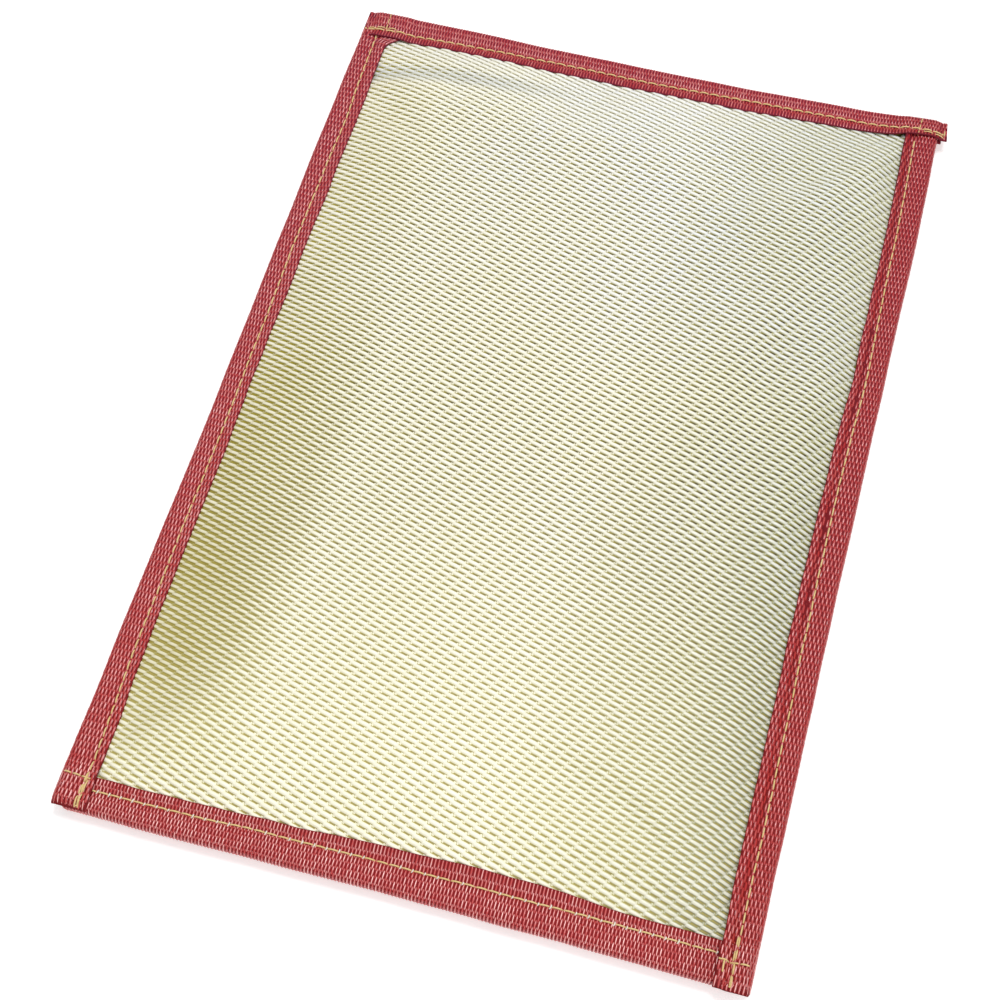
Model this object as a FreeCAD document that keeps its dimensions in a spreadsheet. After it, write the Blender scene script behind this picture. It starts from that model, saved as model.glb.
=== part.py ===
import FreeCAD, Part
import math
import os
import re
import Sketcher

# Fire blanket: a padded heat protection mat, bound with folded tape and sewn on all four sides.
# Frame: +Z up, +X along the short side, +Y along the long side, lying on z = 0,
# with the origin under the middle of the pad. Lengths are in millimetres.

V = FreeCAD.Vector

DIMENSIONS = {
    # the whole pad
    "pad_width": 200.0,
    "pad_length": 300.0,
    "pad_height": 12.0,
    "seam_height": 4.2,
    # woven cloth and felt
    "cloth_thickness": 1.2,
    "layer_gap": 0.05,
    "cloth_corner_radius": 3.0,
    "dome_inset": 13.0,
    "slope_run": 22.0,
    "dome_corner_radius": 16.0,
    # folded binding tape
    "tape_thickness": 0.9,
    "side_tape_leg": 9.3,
    "far_tape_leg": 9.2,
    "near_tape_leg": 12.2,
    "joggle_length": 1.0,
    "far_tape_overhang": 2.8,
    "right_tape_overhang": 1.2,
    # sewing thread and needle holes
    "thread_diameter": 0.5,
    "thread_bend": 0.3,
    "thread_clearance": 0.02,
    "needle_hole": 1.2,
    # side seams
    "left_seam_inset": 6.2,
    "right_seam_inset": 5.4,
    "side_pitch": 3.54,
    "side_stitches": 78,
    "side_corner_stitches": 3,
    "side_joggle": 136.0,
    # far and near seams
    "far_seam_inset": 5.6,
    "far_pitch": 3.58,
    "far_stitches": 50,
    "far_corner_stitches": 2,
    "far_joggle": 89.5,
    "near_seam_inset": 7.2,
    "near_pitch": 3.55,
    "near_stitches": 50,
    # cross stitches at the corners
    "tack_pitch": 4.4,
    "near_tack_inset": 8.2,
    "near_left_tack_start": 4.0,
    "near_right_tack_start": 3.85,
    "far_left_tack_inset": 8.1,
    "far_right_tack_inset": 6.3,
    "far_tack_start": 4.0,
}

# Values that follow from the ones above, kept in the sheet as formulas.
DERIVED = {
    "half_width": "pad_width / 2",
    "half_length": "pad_length / 2",
    "inner_fold": "cloth_thickness + layer_gap",
    "outer_fold": "inner_fold + tape_thickness",
    "corner_inner_fold": "outer_fold + layer_gap",
    "corner_outer_fold": "corner_inner_fold + tape_thickness",
    "flange_width": "pad_width - 2 * outer_fold - 2 * layer_gap",
    "flange_length": "pad_length - 2 * outer_fold - 2 * layer_gap",
    "flange_rise": "cloth_thickness + layer_gap",
    "front_rise": "pad_height - seam_height - flange_rise",
    "back_drop": "seam_height - flange_rise",
    "seam_lift": "outer_fold + thread_diameter / 2 + thread_clearance",
    "corner_lift": "corner_outer_fold + thread_diameter / 2 + thread_clearance",
    "tack_lift": "corner_lift + thread_diameter + thread_clearance",
    "lock_lift": "thread_diameter / 2 + thread_clearance",
    "left_seam_place": "left_seam_inset - half_width",
    "right_seam_place": "half_width - right_seam_inset",
    "far_seam_place": "half_length - far_seam_inset",
    "near_seam_place": "near_seam_inset - half_length",
    "side_row_start": "-side_joggle - side_corner_stitches * side_pitch",
    "side_row_holes": "side_corner_stitches + side_stitches + 1",
    "far_row_start": "-far_joggle - far_corner_stitches * far_pitch",
    "far_row_holes": "2 * far_corner_stitches + far_stitches + 1",
    "near_row_start": "-near_pitch * near_stitches / 2",
    "near_row_holes": "near_stitches + 1",
    "near_tack_place": "near_tack_inset - half_length",
    "near_left_tack_place": "near_left_tack_start - half_width",
    "near_right_tack_place": "half_width - near_right_tack_start - tack_pitch",
    "far_left_tack_place": "far_left_tack_inset - half_width",
    "far_right_tack_place": "half_width - far_right_tack_inset",
    "far_tack_place": "half_length - far_tack_start - tack_pitch",
}

# The cover's slope from its flat flange to the flat top: (part of the run, part of the rise).
SLOPE = (
    (0.0, 0.0), (0.15, 0.06), (0.3, 0.22), (0.5, 0.5), (0.7, 0.78), (0.85, 0.94), (1.0, 1.0),
)

# The felt layers' outlines, from the bottom up: (part of the slope's run, height).
FELT_UPPER = (
    (0.48, "pad_height / 2 + layer_gap"),
    (0.82, "pad_height - 1.65 * cloth_thickness"),
    (1.02, "pad_height - cloth_thickness - 2 * layer_gap"),
)
FELT_LOWER = (
    (1.02, "cloth_thickness + layer_gap"),
    (0.82, "cloth_thickness + 6 * layer_gap"),
    (0.48, "2.5 * cloth_thickness"),
    (0.20, "seam_height"),
    (0.48, "pad_height / 2 - layer_gap"),
)

# Rows of needle holes: (axis, first hole's X, first hole's Y, pitch, number of holes).
HOLE_ROWS = {
    "left": ("Y", "left_seam_place", "side_row_start", "side_pitch", "side_row_holes"),
    "right": ("Y", "right_seam_place", "side_row_start", "side_pitch", "side_row_holes"),
    "far": ("X", "far_row_start", "far_seam_place", "far_pitch", "far_row_holes"),
    "near": ("X", "near_row_start", "near_seam_place", "near_pitch", "near_row_holes"),
    "left_corner": ("Y", "left_seam_place", "side_row_start", "side_pitch", "side_corner_stitches"),
    "right_corner": ("Y", "right_seam_place", "side_row_start", "side_pitch", "side_corner_stitches"),
    "far_left_corner": ("X", "far_row_start", "far_seam_place", "far_pitch", "far_corner_stitches"),
    "far_right_corner": (
        "X", "far_joggle + far_pitch", "far_seam_place", "far_pitch", "far_corner_stitches",
    ),
    "near_left_tack": ("X", "near_left_tack_place", "near_tack_place", "tack_pitch", "2"),
    "near_right_tack": ("X", "near_right_tack_place", "near_tack_place", "tack_pitch", "2"),
    "far_left_tack": ("Y", "far_left_tack_place", "far_tack_place", "tack_pitch", "2"),
    "far_right_tack": ("Y", "far_right_tack_place", "far_tack_place", "tack_pitch", "2"),
}
TACKS = ("near_left_tack", "near_right_tack", "far_left_tack", "far_right_tack")
COVER_ROWS = ("left", "right", "far", "near", *TACKS)

doc = FreeCAD.newDocument("fire_blanket")
sheet = doc.addObject("Spreadsheet::Sheet", "Dimensions")
bodies = {}


# --- sheet and expressions -------------------------------------------------------------------

def fill_sheet():
    """Write each driving value and each derived one into the sheet, under its alias."""
    rows = [(name, str(value)) for name, value in DIMENSIONS.items()]
    rows += [(name, "=" + formula) for name, formula in DERIVED.items()]
    for row, (alias, text) in enumerate(rows, start=1):
        sheet.set(f"A{row}", alias.replace("_", " "))
        sheet.set(f"B{row}", text)
        sheet.setAlias(f"B{row}", alias)
    doc.recompute()


def value(expression):
    """The present value of an expression over the sheet's aliases."""
    return float(sheet.evalExpression(expression))


def bound(expression):
    """The same expression as another object writes it, with the sheet's name before each alias."""
    return re.sub(r"[a-z][a-z_]+", lambda word: "Dimensions." + word.group(), expression)


def bind(obj, path, expression):
    """Drive one property or constraint of obj from the sheet."""
    obj.setExpression(path, bound(expression))


# --- bodies and sketches ----------------------------------------------------------------------

def new_body(name):
    """An empty body whose label is also the name of its STEP file."""
    body = doc.addObject("PartDesign::Body", name)
    body.Label = name
    bodies[name] = body
    return body


def origin_feature(body, role):
    """The body's own origin plane or axis with that role."""
    return next(item for item in body.Origin.OriginFeatures if item.Role == role)


def new_sketch(body, name, plane, offset="0"):
    """A sketch on one of the body's origin planes, moved along the plane's normal."""
    sketch = body.newObject("Sketcher::SketchObject", f"{body.Name}_{name}")
    sketch.AttachmentSupport = [(origin_feature(body, plane), "")]
    sketch.MapMode = "FlatFace"
    sketch.AttachmentOffset = FreeCAD.Placement(V(0, 0, value(offset)), FreeCAD.Rotation())
    bind(sketch, "AttachmentOffset.Base.z", offset)
    return sketch


def drive(sketch, name, expression, *constraint):
    """Add a dimension with its present value, name it and bind it to the sheet."""
    index = sketch.addConstraint(Sketcher.Constraint(*constraint, value(expression)))
    sketch.renameConstraint(index, name)
    bind(sketch, f"Constraints.{name}", expression)


def rounded_rectangle(body, name, offset, width, length, radius):
    """A horizontal rounded rectangle about the body's origin."""
    sketch = new_sketch(body, name, "XY_Plane", offset)
    x, y, r = value(width) / 2, value(length) / 2, value(radius)
    corners = ((x - r, y - r, 0), (r - x, y - r, 1), (r - x, r - y, 2), (x - r, r - y, 3))
    for cx, cy, quarter in corners:
        start = quarter * math.pi / 2
        circle = Part.Circle(V(cx, cy, 0), V(0, 0, 1), r)
        sketch.addGeometry(Part.ArcOfCircle(circle, start, start + math.pi / 2))
    sides = (
        (V(x - r, y, 0), V(r - x, y, 0)),
        (V(-x, y - r, 0), V(-x, r - y, 0)),
        (V(r - x, -y, 0), V(x - r, -y, 0)),
        (V(x, r - y, 0), V(x, y - r, 0)),
    )
    for first, last in sides:
        sketch.addGeometry(Part.LineSegment(first, last))
    for arc in range(4):
        sketch.addConstraint(Sketcher.Constraint("Tangent", arc, 2, arc + 4, 1))
        sketch.addConstraint(Sketcher.Constraint("Tangent", arc + 4, 2, (arc + 1) % 4, 1))
    for line, kind in ((4, "Horizontal"), (5, "Vertical"), (6, "Horizontal"), (7, "Vertical")):
        sketch.addConstraint(Sketcher.Constraint(kind, line))
    for arc in range(1, 4):
        sketch.addConstraint(Sketcher.Constraint("Equal", 0, arc))
    sketch.addConstraint(Sketcher.Constraint("Symmetric", 0, 3, 2, 3, -1, 1))
    drive(sketch, "radius", radius, "Radius", 0)
    drive(sketch, "width", width, "DistanceX", 5, 1, 7, 1)
    drive(sketch, "length", length, "DistanceY", 6, 1, 4, 1)
    return sketch


def fold_section(body, name, plane, offset, edge, leg_end, inner, outer):
    """The U of a tape folded over the pad's edge, with the fold's round at that edge."""
    sketch = new_sketch(body, name, plane, offset)
    side = math.copysign(1.0, value(edge))
    centre = f"({edge}) - ({outer})" if side > 0 else f"({edge}) + ({outer})"
    c, e = value(centre), value(leg_end)
    z, r, big = value("seam_height"), value(inner), value(outer)
    facing = (-math.pi / 2, math.pi / 2) if side > 0 else (math.pi / 2, 3 * math.pi / 2)
    lines = {
        0: (V(e, z + big, 0), V(c, z + big, 0)),
        1: (V(e, z - big, 0), V(c, z - big, 0)),
        2: (V(e, z + r, 0), V(c, z + r, 0)),
        3: (V(e, z - r, 0), V(c, z - r, 0)),
        4: (V(e, z + big, 0), V(e, z + r, 0)),
        5: (V(e, z - big, 0), V(e, z - r, 0)),
    }
    for first, last in lines.values():
        sketch.addGeometry(Part.LineSegment(first, last))
    for radius in (big, r):
        circle = Part.Circle(V(c, z, 0), V(0, 0, 1), radius)
        sketch.addGeometry(Part.ArcOfCircle(circle, *facing))
    low, high = (1, 2) if side > 0 else (2, 1)
    for arc, upper, lower in ((6, 0, 1), (7, 2, 3)):
        sketch.addConstraint(Sketcher.Constraint("Tangent", arc, high, upper, 2))
        sketch.addConstraint(Sketcher.Constraint("Tangent", arc, low, lower, 2))
    for leg, first, last in ((4, 0, 2), (5, 1, 3)):
        sketch.addConstraint(Sketcher.Constraint("Coincident", leg, 1, first, 1))
        sketch.addConstraint(Sketcher.Constraint("Coincident", leg, 2, last, 1))
        sketch.addConstraint(Sketcher.Constraint("Vertical", leg))
    sketch.addConstraint(Sketcher.Constraint("Horizontal", 0))
    sketch.addConstraint(Sketcher.Constraint("Coincident", 6, 3, 7, 3))
    sketch.addConstraint(Sketcher.Constraint("Vertical", 0, 1, 1, 1))
    drive(sketch, "outer_radius", outer, "Radius", 6)
    drive(sketch, "inner_radius", inner, "Radius", 7)
    drive(sketch, "fold_place", centre, "DistanceX", -1, 1, 6, 3)
    drive(sketch, "fold_height", "seam_height", "DistanceY", -1, 1, 6, 3)
    drive(sketch, "leg_place", leg_end, "DistanceX", -1, 1, 4, 1)
    return sketch


# --- covers and felt ---------------------------------------------------------------------------

def inset_size(run):
    """The width and length of the pad inside its slope, after that part of the run."""
    inset = f"2 * (dome_inset + {run} * slope_run)"
    return f"pad_width - {inset}", f"pad_length - {inset}"


def loft(body, name, kind, sections):
    """Join the sections, in order, with straight walls, so that no section is overshot."""
    feature = body.newObject(f"PartDesign::{kind}Loft", f"{body.Name}_{name}")
    feature.Profile = sections[0]
    feature.Sections = sections[1:]
    feature.Ruled = True
    doc.recompute()
    return feature


def slope_sections(body, name, base, rise):
    """One outline of the cover's slope for each step of SLOPE."""
    sections = []
    for step, (run, part) in enumerate(SLOPE):
        width, length = inset_size(run)
        height = f"{base} + {part} * ({rise})"
        outline = rounded_rectangle(body, f"{name}_{step}", height, width, length, "dome_corner_radius")
        sections.append(outline)
    return sections


def cut_holes(body, rows):
    """Punch each named row of needle holes through everything in the body."""
    for row in rows:
        axis, first_x, first_y, pitch, count = HOLE_ROWS[row]
        before = body.Shape.Volume
        sketch = new_sketch(body, f"hole_{row}", "XY_Plane")
        radius = value("needle_hole") / 2
        place = V(value(first_x), value(first_y), 0)
        sketch.addGeometry(Part.Circle(place, V(0, 0, 1), radius))
        drive(sketch, "hole_size", "needle_hole", "Diameter", 0)
        drive(sketch, "hole_x", first_x, "DistanceX", -1, 1, 0, 3)
        drive(sketch, "hole_y", first_y, "DistanceY", -1, 1, 0, 3)
        pocket = body.newObject("PartDesign::Pocket", f"{body.Name}_punch_{row}")
        pocket.Profile = sketch
        pocket.Type = "ThroughAll"
        pocket.Reversed = True
        doc.recompute()
        pattern = body.newObject("PartDesign::LinearPattern", f"{body.Name}_row_{row}")
        pattern.Originals = [pocket]
        pattern.Direction = (origin_feature(body, f"{axis}_Axis"), [""])
        pattern.Mode = "Spacing"
        bind(pattern, "Offset", pitch)
        bind(pattern, "Occurrences", count)
        body.Tip = pattern
        doc.recompute()
        if body.Shape.Volume >= before:
            raise RuntimeError(f"{body.Name}: the {row} needle holes cut nothing")


def cover(name, flange_base, slope_base, rise, hollow):
    """One woven face: a flat flange under the tape, and the raised middle over the felt."""
    body = new_body(name)
    outline = rounded_rectangle(
        body, "flange", flange_base, "flange_width", "flange_length", "cloth_corner_radius",
    )
    flange = body.newObject("PartDesign::Pad", f"{name}_flange_pad")
    flange.Profile = outline
    bind(flange, "Length", "cloth_thickness")
    doc.recompute()
    outside = slope_sections(body, "outside", slope_base, rise)
    loft(body, "raised", "Additive", outside)
    inside = slope_sections(body, "inside", f"{slope_base} {hollow} cloth_thickness", rise)
    loft(body, "hollowed", "Subtractive", inside)
    cut_holes(body, COVER_ROWS)


def felt_layer(name, outline):
    """One layer of felt, thinned towards its edges by the sewn border."""
    body = new_body(name)
    sections = []
    for step, (run, height) in enumerate(outline):
        width, length = inset_size(run)
        section = rounded_rectangle(body, f"outline_{step}", height, width, length, "dome_corner_radius")
        sections.append(section)
    loft(body, "felt", "Additive", sections)


# --- binding tape --------------------------------------------------------------------------------

def folded_tape(name, plane, edge, leg_end, stations, rows):
    """A tape folded over one edge; stations are (offset, over another tape or not)."""
    body = new_body(name)
    sections = []
    for step, (offset, raised) in enumerate(stations):
        inner, outer = ("corner_inner_fold", "corner_outer_fold") if raised else ("inner_fold", "outer_fold")
        section = fold_section(body, f"fold_{step}", plane, offset, edge, leg_end, inner, outer)
        sections.append(section)
    loft(body, "folded", "Additive", sections)
    cut_holes(body, rows)


# --- sewing thread --------------------------------------------------------------------------------

def stitch_path(body, name, plane, place, start, pitch, lift, sign):
    """One stitch's centre line: up out of its hole, along the tape and down the next hole."""
    sketch = new_sketch(body, name, plane, place)
    lock_height = f"seam_height {sign} lock_lift"
    float_height = f"seam_height {sign} {lift}"
    s, p, b = value(start), value(pitch), value("thread_bend")
    low, top = value(lock_height), value(float_height)
    up = 1.0 if sign == "+" else -1.0
    half = math.pi / 2
    arcs = (
        (s, low + up * b, (-half, 0.0) if up > 0 else (0.0, half)),
        (s + 2 * b, top - up * b, (half, 2 * half) if up > 0 else (2 * half, 3 * half)),
        (s + p - 2 * b, top - up * b, (0.0, half) if up > 0 else (-half, 0.0)),
        (s + p, low + up * b, (2 * half, 3 * half) if up > 0 else (half, 2 * half)),
    )
    for cx, cz, span in arcs:
        sketch.addGeometry(Part.ArcOfCircle(Part.Circle(V(cx, cz, 0), V(0, 0, 1), b), *span))
    lines = (
        (V(s + b, low + up * b, 0), V(s + b, top - up * b, 0)),
        (V(s + 2 * b, top, 0), V(s + p - 2 * b, top, 0)),
        (V(s + p - b, top - up * b, 0), V(s + p - b, low + up * b, 0)),
    )
    for first, last in lines:
        sketch.addGeometry(Part.LineSegment(first, last))
    # each arc's start and end, in the order in which the thread runs through it
    ends = ((1, 2), (2, 1), (2, 1), (1, 2)) if up > 0 else ((2, 1), (1, 2), (1, 2), (2, 1))
    for arc, line in ((0, 4), (1, 5), (2, 6)):
        sketch.addConstraint(Sketcher.Constraint("Tangent", arc, ends[arc][1], line, 1))
        sketch.addConstraint(Sketcher.Constraint("Tangent", line, 2, arc + 1, ends[arc + 1][0]))
    for line, kind in ((4, "Vertical"), (5, "Horizontal"), (6, "Vertical")):
        sketch.addConstraint(Sketcher.Constraint(kind, line))
    for arc in (1, 2, 3):
        sketch.addConstraint(Sketcher.Constraint("Equal", 0, arc))
    for arc, end in ((0, ends[0][0]), (3, ends[3][1])):
        sketch.addConstraint(Sketcher.Constraint("Vertical", arc, end, arc, 3))
    sketch.addConstraint(Sketcher.Constraint("Horizontal", 0, 3, 3, 3))
    drive(sketch, "bend", "thread_bend", "Radius", 0)
    drive(sketch, "stitch_start", start, "DistanceX", -1, 1, 0, 3)
    drive(sketch, "stitch_end", f"{start} + {pitch}", "DistanceX", -1, 1, 3, 3)
    drive(sketch, "lock_height", lock_height, "DistanceY", -1, 1, 0, ends[0][0])
    drive(sketch, "float_height", float_height, "DistanceY", -1, 1, 5, 1)
    return sketch


def stitch_row(body, name, axis, place, start, pitch, count, lift, sign):
    """Sweep one stitch and repeat it along the seam; neighbours meet and become one thread."""
    along_y = axis == "Y"
    path_plane, cut_plane = ("YZ_Plane", "XZ_Plane") if along_y else ("XZ_Plane", "YZ_Plane")
    # the XZ plane's normal points to -Y, so offsets along it change sign
    path_offset = place if along_y else f"-({place})"
    cut_offset = f"-({start})" if along_y else start
    path = stitch_path(body, f"{name}_path", path_plane, path_offset, start, pitch, lift, sign)
    section = new_sketch(body, f"{name}_section", cut_plane, cut_offset)
    lock_height = f"seam_height {sign} lock_lift"
    centre = V(value(place), value(lock_height), 0)
    section.addGeometry(Part.Circle(centre, V(0, 0, 1), value("thread_diameter") / 2))
    drive(section, "thread", "thread_diameter", "Diameter", 0)
    drive(section, "place", place, "DistanceX", -1, 1, 0, 3)
    drive(section, "height", lock_height, "DistanceY", -1, 1, 0, 3)
    doc.recompute()
    pipe = body.newObject("PartDesign::AdditivePipe", f"{body.Name}_{name}_stitch")
    pipe.Profile = section
    pipe.Spine = (path, [f"Edge{number + 1}" for number in range(7)])
    doc.recompute()
    pattern = body.newObject("PartDesign::LinearPattern", f"{body.Name}_{name}_stitches")
    pattern.Originals = [pipe]
    pattern.Direction = (origin_feature(body, f"{axis}_Axis"), [""])
    pattern.Mode = "Spacing"
    bind(pattern, "Offset", pitch)
    bind(pattern, "Occurrences", count)
    body.Tip = pattern
    doc.recompute()


def seam_threads(name, axis, place, runs):
    """The needle thread above and the bobbin thread below; runs are (start, pitch, count, lift)."""
    for kind, sign in (("needle", "+"), ("bobbin", "-")):
        body = new_body(name.replace("KIND", kind))
        for step, (start, pitch, count, lift) in enumerate(runs):
            stitch_row(body, f"run_{step}", axis, place, start, pitch, count, lift, sign)


# --- the pad ----------------------------------------------------------------------------------------

def build_pad():
    """The two woven faces with the two felt layers between them."""
    cover("back_cover", "seam_height - flange_rise", "seam_height - flange_rise", "-back_drop", "+")
    felt_layer("felt_layer_lower", FELT_LOWER)
    felt_layer("felt_layer_upper", FELT_UPPER)
    cover("front_cover", "seam_height + layer_gap", "seam_height + flange_rise", "front_rise", "-")


def build_tapes():
    """Near tape first, the side tapes over its ends, and the far tape over theirs."""
    near_end = "half_width - corner_outer_fold + layer_gap"
    folded_tape(
        "binding_tape_near", "YZ_Plane", "-half_length", "near_tape_leg - half_length",
        ((f"-({near_end})", False), (near_end, False)),
        ("near", "left_corner", "right_corner", "near_left_tack", "near_right_tack"),
    )
    side_far_end = "-(half_length - corner_outer_fold - layer_gap)"
    joggle_far = "side_joggle - joggle_length / 2"
    joggle_near = "side_joggle + joggle_length / 2"
    for side, sign, overhang in (("left", "-", "0"), ("right", "", "right_tape_overhang")):
        folded_tape(
            f"binding_tape_{side}", "XZ_Plane", f"{sign}half_width", f"{sign}(half_width - side_tape_leg)",
            (
                (side_far_end, False),
                (joggle_far, False),
                (joggle_near, True),
                (f"half_length + {overhang}", True),
            ),
            (side, f"near_{side}_tack", f"far_{side}_corner", f"far_{side}_tack"),
        )
    joggle_out = "far_joggle + joggle_length / 2"
    joggle_in = "far_joggle - joggle_length / 2"
    folded_tape(
        "binding_tape_far", "YZ_Plane", "half_length", "half_length - far_tape_leg",
        (
            ("-half_width", True),
            (f"-({joggle_out})", True),
            (f"-({joggle_in})", False),
            (joggle_in, False),
            (joggle_out, True),
            ("half_width + far_tape_overhang", True),
        ),
        ("far", "far_left_tack", "far_right_tack"),
    )


def build_threads():
    """Four lockstitched seams and a cross stitch at each corner."""
    for side in ("left", "right"):
        runs = (
            ("-side_joggle", "side_pitch", "side_stitches", "seam_lift"),
            ("side_row_start", "side_pitch", "side_corner_stitches", "corner_lift"),
        )
        seam_threads(f"KIND_thread_{side}", "Y", f"{side}_seam_place", runs)
    far_runs = (
        ("-far_joggle", "far_pitch", "far_stitches", "seam_lift"),
        ("far_row_start", "far_pitch", "far_corner_stitches", "corner_lift"),
        ("far_joggle", "far_pitch", "far_corner_stitches", "corner_lift"),
    )
    seam_threads("KIND_thread_far", "X", "far_seam_place", far_runs)
    near_runs = (("near_row_start", "near_pitch", "near_stitches", "seam_lift"),)
    seam_threads("KIND_thread_near", "X", "near_seam_place", near_runs)
    for side in ("left", "right"):
        near = ((f"near_{side}_tack_place", "tack_pitch", "1", "tack_lift"),)
        seam_threads(f"corner_tack_KIND_near_{side}", "X", "near_tack_place", near)
        far = (("far_tack_place", "tack_pitch", "1", "tack_lift"),)
        seam_threads(f"corner_tack_KIND_far_{side}", "Y", f"far_{side}_tack_place", far)


def check_and_export():
    """Stop on any bad object or shape, then write one STEP file for each sub-part."""
    for obj in doc.Objects:
        if "Invalid" in obj.State or "Error" in obj.State:
            raise RuntimeError(f"{obj.Name} is {obj.State}")
    os.makedirs("parts", exist_ok=True)
    for name, body in bodies.items():
        shape = body.Shape
        if shape.isNull() or not shape.isValid():
            raise RuntimeError(f"{name} has no valid shape")
        box = shape.BoundBox
        print(f"{name}: {len(shape.Solids)} solid, {shape.Volume:.1f} mm3, z {box.ZMin:.2f} to {box.ZMax:.2f}")
        shape.exportStep(f"parts/{name}.step")


fill_sheet()
build_pad()
build_tapes()
build_threads()
doc.recompute()
check_and_export()
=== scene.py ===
import math
import random
import bmesh
import bpy
from mathutils import Matrix, Vector, noise
from mathutils.bvhtree import BVHTree


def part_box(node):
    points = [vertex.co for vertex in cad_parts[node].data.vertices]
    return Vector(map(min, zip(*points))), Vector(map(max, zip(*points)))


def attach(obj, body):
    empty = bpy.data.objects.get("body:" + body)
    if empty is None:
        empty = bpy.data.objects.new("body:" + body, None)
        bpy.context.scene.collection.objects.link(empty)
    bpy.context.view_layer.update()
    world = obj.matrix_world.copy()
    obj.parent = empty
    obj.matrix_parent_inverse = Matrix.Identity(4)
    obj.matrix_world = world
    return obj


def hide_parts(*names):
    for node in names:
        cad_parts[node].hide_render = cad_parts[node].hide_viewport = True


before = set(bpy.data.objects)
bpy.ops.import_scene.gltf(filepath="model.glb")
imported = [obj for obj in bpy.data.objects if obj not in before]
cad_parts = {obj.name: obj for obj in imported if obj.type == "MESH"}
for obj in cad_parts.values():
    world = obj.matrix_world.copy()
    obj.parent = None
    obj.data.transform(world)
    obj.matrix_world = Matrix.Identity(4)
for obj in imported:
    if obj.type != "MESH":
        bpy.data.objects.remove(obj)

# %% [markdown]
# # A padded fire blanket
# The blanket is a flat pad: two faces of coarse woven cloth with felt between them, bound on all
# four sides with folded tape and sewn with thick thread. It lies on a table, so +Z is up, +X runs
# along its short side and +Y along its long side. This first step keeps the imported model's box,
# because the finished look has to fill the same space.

MM = 0.001
scene = bpy.context.scene
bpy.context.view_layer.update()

# %% [markdown]
# ## Where the cloth lies
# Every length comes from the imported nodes. The cloth's two faces meet at the seam height, halfway
# up the binding tape. From there the top face climbs to the flat middle, and the lower face drops
# to the table.

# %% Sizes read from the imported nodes
_, cloth_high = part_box("front_cover")
near_low, near_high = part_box("binding_tape_near")
side_low, side_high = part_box("binding_tape_left")
HALF_CLOTH_X = cloth_high.x
HALF_CLOTH_Y = cloth_high.y
SEAM_Z = (near_low.z + near_high.z) / 2
PAD_TOP = cloth_high.z
HALF_X = -side_low.x
HALF_Y = -near_low.y
print("seam height, mm:", round(SEAM_Z / MM, 2), "pad top, mm:", round(PAD_TOP / MM, 2))

# %% [markdown]
# ## The camera
# The camera looks down on the near short side from a little to the right, with the blanket turned
# in the view. It is set with a place, three turns and a lens, so nothing else needs to follow it.

# %% Camera
camera_data = bpy.data.cameras.new("view_from_near_side")
camera_data.lens = 69.2
camera_data.sensor_width = 36.0
camera = bpy.data.objects.new("view_from_near_side", camera_data)
camera.location = (0.0850, -0.2811, 0.5197)
camera.rotation_euler = [math.radians(turn) for turn in (27.764, 1.729, 15.806)]
scene.collection.objects.link(camera)
scene.camera = camera

# %% [markdown]
# ## Small helpers for meshes
# A bmesh is Blender's editable mesh. Each piece is made in one, written to an object at the origin,
# and told that it rides on the blanket's single body.

# %% Mesh helpers
def to_object(bm, name, material, rides=True):
    """Write a bmesh to a new smooth-shaded object; a finished piece rides on the blanket."""
    mesh = bpy.data.meshes.new(name)
    for face in bm.faces:
        face.smooth = True
    bm.to_mesh(mesh)
    bm.free()
    piece = bpy.data.objects.new(name, mesh)
    scene.collection.objects.link(piece)
    mesh.materials.append(material)
    if rides:
        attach(piece, "root")
    return piece


def applied(piece):
    """The piece's mesh with its modifiers applied, in place of the old one."""
    graph = bpy.context.evaluated_depsgraph_get()
    mesh = bpy.data.meshes.new_from_object(piece.evaluated_get(graph))
    piece.modifiers.clear()
    piece.data = mesh
    return piece


def smooth_step(value):
    """0 below 0, 1 above 1, and an even S between."""
    value = min(max(value, 0.0), 1.0)
    return value * value * (3.0 - 2.0 * value)


def wander(x, y, reach, seed):
    """A slow, repeatable wobble between about -1 and 1; reach is its size in metres."""
    return noise.noise(Vector((x / reach, y / reach, seed * 7.31)))

# %% [markdown]
# ## Small helpers for materials
# A material is a graph of nodes. `add` makes one node, sets its options and fills its inputs with
# numbers or with the outputs of other nodes, which keeps each material readable as a short list.

# %% Material helpers
def add(tree, kind, inputs=None, **options):
    """Make a node; inputs may be values or other nodes' output sockets."""
    node = tree.nodes.new(kind)
    for option, setting in options.items():
        setattr(node, option, setting)
    for socket, content in (inputs or {}).items():
        if isinstance(content, bpy.types.NodeSocket):
            tree.links.new(content, node.inputs[socket])
        else:
            node.inputs[socket].default_value = content
    return node


def blend_colours(tree, factor, first, second):
    """Mix two colours, each a value or a socket."""
    node = add(tree, "ShaderNodeMix", data_type="RGBA")
    for index, content in ((0, factor), (6, first), (7, second)):
        if isinstance(content, bpy.types.NodeSocket):
            tree.links.new(content, node.inputs[index])
        else:
            node.inputs[index].default_value = content
    return node.outputs[2]


def calculate(tree, operation, first, second=0.0, third=0.0):
    """One step of arithmetic."""
    node = add(tree, "ShaderNodeMath", {0: first, 1: second, 2: third}, operation=operation)
    return node.outputs[0]


def fade(tree, value, empty, full):
    """0 where the value is at `empty`, 1 where it is at `full`, and even in between."""
    node = add(tree, "ShaderNodeMapRange", {"Value": value, "From Min": empty, "From Max": full})
    return node.outputs[0]


def times(tree, *factors):
    """All the factors multiplied together."""
    product = factors[0]
    for factor in factors[1:]:
        product = calculate(tree, "MULTIPLY", product, factor)
    return product


def ramp(tree, factor, stops):
    """A colour ramp through (position, colour) stops."""
    node = add(tree, "ShaderNodeValToRGB", {"Fac": factor})
    elements = node.color_ramp.elements
    while len(elements) < len(stops):
        elements.new(0.5)
    for element, (position, colour) in zip(elements, stops):
        element.position = position
        element.color = colour
    return node.outputs["Color"]


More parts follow.
